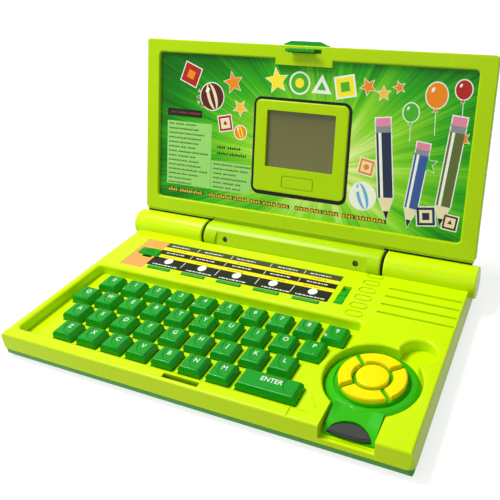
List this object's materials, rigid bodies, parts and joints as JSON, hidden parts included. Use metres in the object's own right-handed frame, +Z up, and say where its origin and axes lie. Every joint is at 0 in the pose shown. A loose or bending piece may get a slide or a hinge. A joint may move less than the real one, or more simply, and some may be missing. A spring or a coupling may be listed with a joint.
{
  "type": "toy laptop computer",
  "caption": "Children's toy laptop with a hinged latching lid, small display, raised letter keys, sliders, function keys and a lift-out round thumb controller.",
  "frame": {"origin": "centre of the base's footprint, on the surface that it stands on", "axes": "+X to the right as the user sits, +Y away from the user to the hinge, +Z up"},
  "size_m": [0.288, 0.2107, 0.1706],
  "materials": {
    "lime_plastic": "smooth moulded plastic, lime yellow-green",
    "lime_lid_plastic": "smooth moulded plastic, lime",
    "green_plastic": "smooth moulded plastic, mid green",
    "key_green_plastic": "smooth moulded plastic, bright green",
    "controller_plastic": "smooth moulded plastic, grass green",
    "yellow_plastic": "smooth moulded plastic, yellow",
    "dark_grey_plastic": "fine-grained moulded plastic, dark grey",
    "circuit_board": "lacquered circuit board, green",
    "membrane_rubber": "silicone rubber sheet, off-white",
    "display_panel": "reflective liquid crystal panel, olive"
  },
  "bodies": {
    "base": {"base_top_shell": "lime_plastic", "base_bottom_shell": "green_plastic", "battery_door": "green_plastic", "circuit_board": "circuit_board", "key_membrane": "membrane_rubber"},
    "lid": {"lid_front_shell": "lime_lid_plastic", "lid_back_shell": "green_plastic", "display": "display_panel"},
    "latch": {"latch": "key_green_plastic"},
    "controller": {"controller_body": "controller_plastic"},
    "trigger": {"controller_trigger": "dark_grey_plastic"},
    "pad_centre": {"pad_button_centre": "yellow_plastic"},
    "pad_right": {"pad_button_right": "yellow_plastic"},
    "pad_up": {"pad_button_up": "yellow_plastic"},
    "pad_left": {"pad_button_left": "yellow_plastic"},
    "pad_down": {"pad_button_down": "yellow_plastic"},
    "mode_knob": {"mode_switch": "key_green_plastic"},
    "power_knob": {"power_switch": "key_green_plastic"},
    "function_key_1_cap": {"function_key_1": "key_green_plastic"},
    "function_key_2_cap": {"function_key_2": "key_green_plastic"},
    "function_key_3_cap": {"function_key_3": "key_green_plastic"},
    "function_key_4_cap": {"function_key_4": "key_green_plastic"},
    "function_key_5_cap": {"function_key_5": "key_green_plastic"},
    "key_enter_cap": {"key_enter": "key_green_plastic"},
    "key_0_cap": {"key_0": "key_green_plastic"},
    "key_1_cap": {"key_1": "key_green_plastic"},
    "key_2_cap": {"key_2": "key_green_plastic"},
    "key_3_cap": {"key_3": "key_green_plastic"},
    "key_4_cap": {"key_4": "key_green_plastic"},
    "key_5_cap": {"key_5": "key_green_plastic"},
    "key_6_cap": {"key_6": "key_green_plastic"},
    "key_7_cap": {"key_7": "key_green_plastic"},
    "key_8_cap": {"key_8": "key_green_plastic"},
    "key_9_cap": {"key_9": "key_green_plastic"},
    "key_q_cap": {"key_q": "key_green_plastic"},
    "key_w_cap": {"key_w": "key_green_plastic"},
    "key_e_cap": {"key_e": "key_green_plastic"},
    "key_r_cap": {"key_r": "key_green_plastic"},
    "key_t_cap": {"key_t": "key_green_plastic"},
    "key_y_cap": {"key_y": "key_green_plastic"},
    "key_u_cap": {"key_u": "key_green_plastic"},
    "key_i_cap": {"key_i": "key_green_plastic"},
    "key_o_cap": {"key_o": "key_green_plastic"},
    "key_p_cap": {"key_p": "key_green_plastic"},
    "key_a_cap": {"key_a": "key_green_plastic"},
    "key_s_cap": {"key_s": "key_green_plastic"},
    "key_d_cap": {"key_d": "key_green_plastic"},
    "key_f_cap": {"key_f": "key_green_plastic"},
    "key_g_cap": {"key_g": "key_green_plastic"},
    "key_h_cap": {"key_h": "key_green_plastic"},
    "key_j_cap": {"key_j": "key_green_plastic"},
    "key_k_cap": {"key_k": "key_green_plastic"},
    "key_l_cap": {"key_l": "key_green_plastic"},
    "key_z_cap": {"key_z": "key_green_plastic"},
    "key_x_cap": {"key_x": "key_green_plastic"},
    "key_c_cap": {"key_c": "key_green_plastic"},
    "key_v_cap": {"key_v": "key_green_plastic"},
    "key_b_cap": {"key_b": "key_green_plastic"},
    "key_n_cap": {"key_n": "key_green_plastic"},
    "key_m_cap": {"key_m": "key_green_plastic"}
  },
  "joints": [
    {"name": "lid_hinge", "type": "hinge", "parent": "base", "child": "lid", "pos_m": [0, 0.0725, 0.0205], "axis": [1, 0, 0], "range_deg": [0, 107.5]},
    {"name": "latch_slide", "type": "slide", "parent": "lid", "child": "latch", "axis": [1, 0, 0], "range_m": [0, 0.003]},
    {"name": "controller_lift", "type": "slide", "parent": "base", "child": "controller", "axis": [0, 0, 1], "range_m": [0, 0.03]},
    {"name": "mode_slide", "type": "slide", "parent": "base", "child": "mode_knob", "axis": [0, 1, 0], "range_m": [-0.004, 0.004]},
    {"name": "power_slide", "type": "slide", "parent": "base", "child": "power_knob", "axis": [0, 1, 0], "range_m": [0, 0.005]},
    {"name": "trigger_press", "type": "slide", "parent": "controller", "child": "trigger", "axis": [0, 0, -1], "range_m": [0, 0.001], "stiffness_N_per_m": 250, "springref_m": -0.001},
    {"name": "pad_centre_press", "type": "slide", "parent": "controller", "child": "pad_centre", "axis": [0, -0.0523, -0.9986], "range_m": [0, 0.0012], "stiffness_N_per_m": 250, "springref_m": -0.001},
    {"name": "pad_right_press", "type": "slide", "parent": "controller", "child": "pad_right", "axis": [0, -0.0523, -0.9986], "range_m": [0, 0.0012], "stiffness_N_per_m": 250, "springref_m": -0.001},
    {"name": "pad_up_press", "type": "slide", "parent": "controller", "child": "pad_up", "axis": [0, -0.0523, -0.9986], "range_m": [0, 0.0012], "stiffness_N_per_m": 250, "springref_m": -0.001},
    {"name": "pad_left_press", "type": "slide", "parent": "controller", "child": "pad_left", "axis": [0, -0.0523, -0.9986], "range_m": [0, 0.0012], "stiffness_N_per_m": 250, "springref_m": -0.001},
    {"name": "pad_down_press", "type": "slide", "parent": "controller", "child": "pad_down", "axis": [0, -0.0523, -0.9986], "range_m": [0, 0.0012], "stiffness_N_per_m": 250, "springref_m": -0.001},
    {"name": "function_key_1_press", "type": "slide", "parent": "base", "child": "function_key_1_cap", "axis": [0, 0, -1], "range_m": [0, 0.001], "stiffness_N_per_m": 250, "springref_m": -0.001},
    {"name": "function_key_2_press", "type": "slide", "parent": "base", "child": "function_key_2_cap", "axis": [0, 0, -1], "range_m": [0, 0.001], "stiffness_N_per_m": 250, "springref_m": -0.001},
    {"name": "function_key_3_press", "type": "slide", "parent": "base", "child": "function_key_3_cap", "axis": [0, 0, -1], "range_m": [0, 0.001], "stiffness_N_per_m": 250, "springref_m": -0.001},
    {"name": "function_key_4_press", "type": "slide", "parent": "base", "child": "function_key_4_cap", "axis": [0, 0, -1], "range_m": [0, 0.001], "stiffness_N_per_m": 250, "springref_m": -0.001},
    {"name": "function_key_5_press", "type": "slide", "parent": "base", "child": "function_key_5_cap", "axis": [0, 0, -1], "range_m": [0, 0.001], "stiffness_N_per_m": 250, "springref_m": -0.001},
    {"name": "key_enter_press", "type": "slide", "parent": "base", "child": "key_enter_cap", "axis": [0, 0, -1], "range_m": [0, 0.0025], "stiffness_N_per_m": 150, "springref_m": -0.0015},
    {"name": "key_0_press", "type": "slide", "parent": "base", "child": "key_0_cap", "axis": [0, 0, -1], "range_m": [0, 0.0025], "stiffness_N_per_m": 150, "springref_m": -0.0015},
    {"name": "key_1_press", "type": "slide", "parent": "base", "child": "key_1_cap", "axis": [0, 0, -1], "range_m": [0, 0.0025], "stiffness_N_per_m": 150, "springref_m": -0.0015},
    {"name": "key_2_press", "type": "slide", "parent": "base", "child": "key_2_cap", "axis": [0, 0, -1], "range_m": [0, 0.0025], "stiffness_N_per_m": 150, "springref_m": -0.0015},
    {"name": "key_3_press", "type": "slide", "parent": "base", "child": "key_3_cap", "axis": [0, 0, -1], "range_m": [0, 0.0025], "stiffness_N_per_m": 150, "springref_m": -0.0015},
    {"name": "key_4_press", "type": "slide", "parent": "base", "child": "key_4_cap", "axis": [0, 0, -1], "range_m": [0, 0.0025], "stiffness_N_per_m": 150, "springref_m": -0.0015},
    {"name": "key_5_press", "type": "slide", "parent": "base", "child": "key_5_cap", "axis": [0, 0, -1], "range_m": [0, 0.0025], "stiffness_N_per_m": 150, "springref_m": -0.0015},
    {"name": "key_6_press", "type": "slide", "parent": "base", "child": "key_6_cap", "axis": [0, 0, -1], "range_m": [0, 0.0025], "stiffness_N_per_m": 150, "springref_m": -0.0015},
    {"name": "key_7_press", "type": "slide", "parent": "base", "child": "key_7_cap", "axis": [0, 0, -1], "range_m": [0, 0.0025], "stiffness_N_per_m": 150, "springref_m": -0.0015},
    {"name": "key_8_press", "type": "slide", "parent": "base", "child": "key_8_cap", "axis": [0, 0, -1], "range_m": [0, 0.0025], "stiffness_N_per_m": 150, "springref_m": -0.0015},
    {"name": "key_9_press", "type": "slide", "parent": "base", "child": "key_9_cap", "axis": [0, 0, -1], "range_m": [0, 0.0025], "stiffness_N_per_m": 150, "springref_m": -0.0015},
    {"name": "key_q_press", "type": "slide", "parent": "base", "child": "key_q_cap", "axis": [0, 0, -1], "range_m": [0, 0.0025], "stiffness_N_per_m": 150, "springref_m": -0.0015},
    {"name": "key_w_press", "type": "slide", "parent": "base", "child": "key_w_cap", "axis": [0, 0, -1], "range_m": [0, 0.0025], "stiffness_N_per_m": 150, "springref_m": -0.0015},
    {"name": "key_e_press", "type": "slide", "parent": "base", "child": "key_e_cap", "axis": [0, 0, -1], "range_m": [0, 0.0025], "stiffness_N_per_m": 150, "springref_m": -0.0015},
    {"name": "key_r_press", "type": "slide", "parent": "base", "child": "key_r_cap", "axis": [0, 0, -1], "range_m": [0, 0.0025], "stiffness_N_per_m": 150, "springref_m": -0.0015},
    {"name": "key_t_press", "type": "slide", "parent": "base", "child": "key_t_cap", "axis": [0, 0, -1], "range_m": [0, 0.0025], "stiffness_N_per_m": 150, "springref_m": -0.0015},
    {"name": "key_y_press", "type": "slide", "parent": "base", "child": "key_y_cap", "axis": [0, 0, -1], "range_m": [0, 0.0025], "stiffness_N_per_m": 150, "springref_m": -0.0015},
    {"name": "key_u_press", "type": "slide", "parent": "base", "child": "key_u_cap", "axis": [0, 0, -1], "range_m": [0, 0.0025], "stiffness_N_per_m": 150, "springref_m": -0.0015},
    {"name": "key_i_press", "type": "slide", "parent": "base", "child": "key_i_cap", "axis": [0, 0, -1], "range_m": [0, 0.0025], "stiffness_N_per_m": 150, "springref_m": -0.0015},
    {"name": "key_o_press", "type": "slide", "parent": "base", "child": "key_o_cap", "axis": [0, 0, -1], "range_m": [0, 0.0025], "stiffness_N_per_m": 150, "springref_m": -0.0015},
    {"name": "key_p_press", "type": "slide", "parent": "base", "child": "key_p_cap", "axis": [0, 0, -1], "range_m": [0, 0.0025], "stiffness_N_per_m": 150, "springref_m": -0.0015},
    {"name": "key_a_press", "type": "slide", "parent": "base", "child": "key_a_cap", "axis": [0, 0, -1], "range_m": [0, 0.0025], "stiffness_N_per_m": 150, "springref_m": -0.0015},
    {"name": "key_s_press", "type": "slide", "parent": "base", "child": "key_s_cap", "axis": [0, 0, -1], "range_m": [0, 0.0025], "stiffness_N_per_m": 150, "springref_m": -0.0015},
    {"name": "key_d_press", "type": "slide", "parent": "base", "child": "key_d_cap", "axis": [0, 0, -1], "range_m": [0, 0.0025], "stiffness_N_per_m": 150, "springref_m": -0.0015},
    {"name": "key_f_press", "type": "slide", "parent": "base", "child": "key_f_cap", "axis": [0, 0, -1], "range_m": [0, 0.0025], "stiffness_N_per_m": 150, "springref_m": -0.0015},
    {"name": "key_g_press", "type": "slide", "parent": "base", "child": "key_g_cap", "axis": [0, 0, -1], "range_m": [0, 0.0025], "stiffness_N_per_m": 150, "springref_m": -0.0015},
    {"name": "key_h_press", "type": "slide", "parent": "base", "child": "key_h_cap", "axis": [0, 0, -1], "range_m": [0, 0.0025], "stiffness_N_per_m": 150, "springref_m": -0.0015},
    {"name": "key_j_press", "type": "slide", "parent": "base", "child": "key_j_cap", "axis": [0, 0, -1], "range_m": [0, 0.0025], "stiffness_N_per_m": 150, "springref_m": -0.0015},
    {"name": "key_k_press", "type": "slide", "parent": "base", "child": "key_k_cap", "axis": [0, 0, -1], "range_m": [0, 0.0025], "stiffness_N_per_m": 150, "springref_m": -0.0015},
    {"name": "key_l_press", "type": "slide", "parent": "base", "child": "key_l_cap", "axis": [0, 0, -1], "range_m": [0, 0.0025], "stiffness_N_per_m": 150, "springref_m": -0.0015},
    {"name": "key_z_press", "type": "slide", "parent": "base", "child": "key_z_cap", "axis": [0, 0, -1], "range_m": [0, 0.0025], "stiffness_N_per_m": 150, "springref_m": -0.0015},
    {"name": "key_x_press", "type": "slide", "parent": "base", "child": "key_x_cap", "axis": [0, 0, -1], "range_m": [0, 0.0025], "stiffness_N_per_m": 150, "springref_m": -0.0015},
    {"name": "key_c_press", "type": "slide", "parent": "base", "child": "key_c_cap", "axis": [0, 0, -1], "range_m": [0, 0.0025], "stiffness_N_per_m": 150, "springref_m": -0.0015},
    {"name": "key_v_press", "type": "slide", "parent": "base", "child": "key_v_cap", "axis": [0, 0, -1], "range_m": [0, 0.0025], "stiffness_N_per_m": 150, "springref_m": -0.0015},
    {"name": "key_b_press", "type": "slide", "parent": "base", "child": "key_b_cap", "axis": [0, 0, -1], "range_m": [0, 0.0025], "stiffness_N_per_m": 150, "springref_m": -0.0015},
    {"name": "key_n_press", "type": "slide", "parent": "base", "child": "key_n_cap", "axis": [0, 0, -1], "range_m": [0, 0.0025], "stiffness_N_per_m": 150, "springref_m": -0.0015},
    {"name": "key_m_press", "type": "slide", "parent": "base", "child": "key_m_cap", "axis": [0, 0, -1], "range_m": [0, 0.0025], "stiffness_N_per_m": 150, "springref_m": -0.0015}
  ]
}
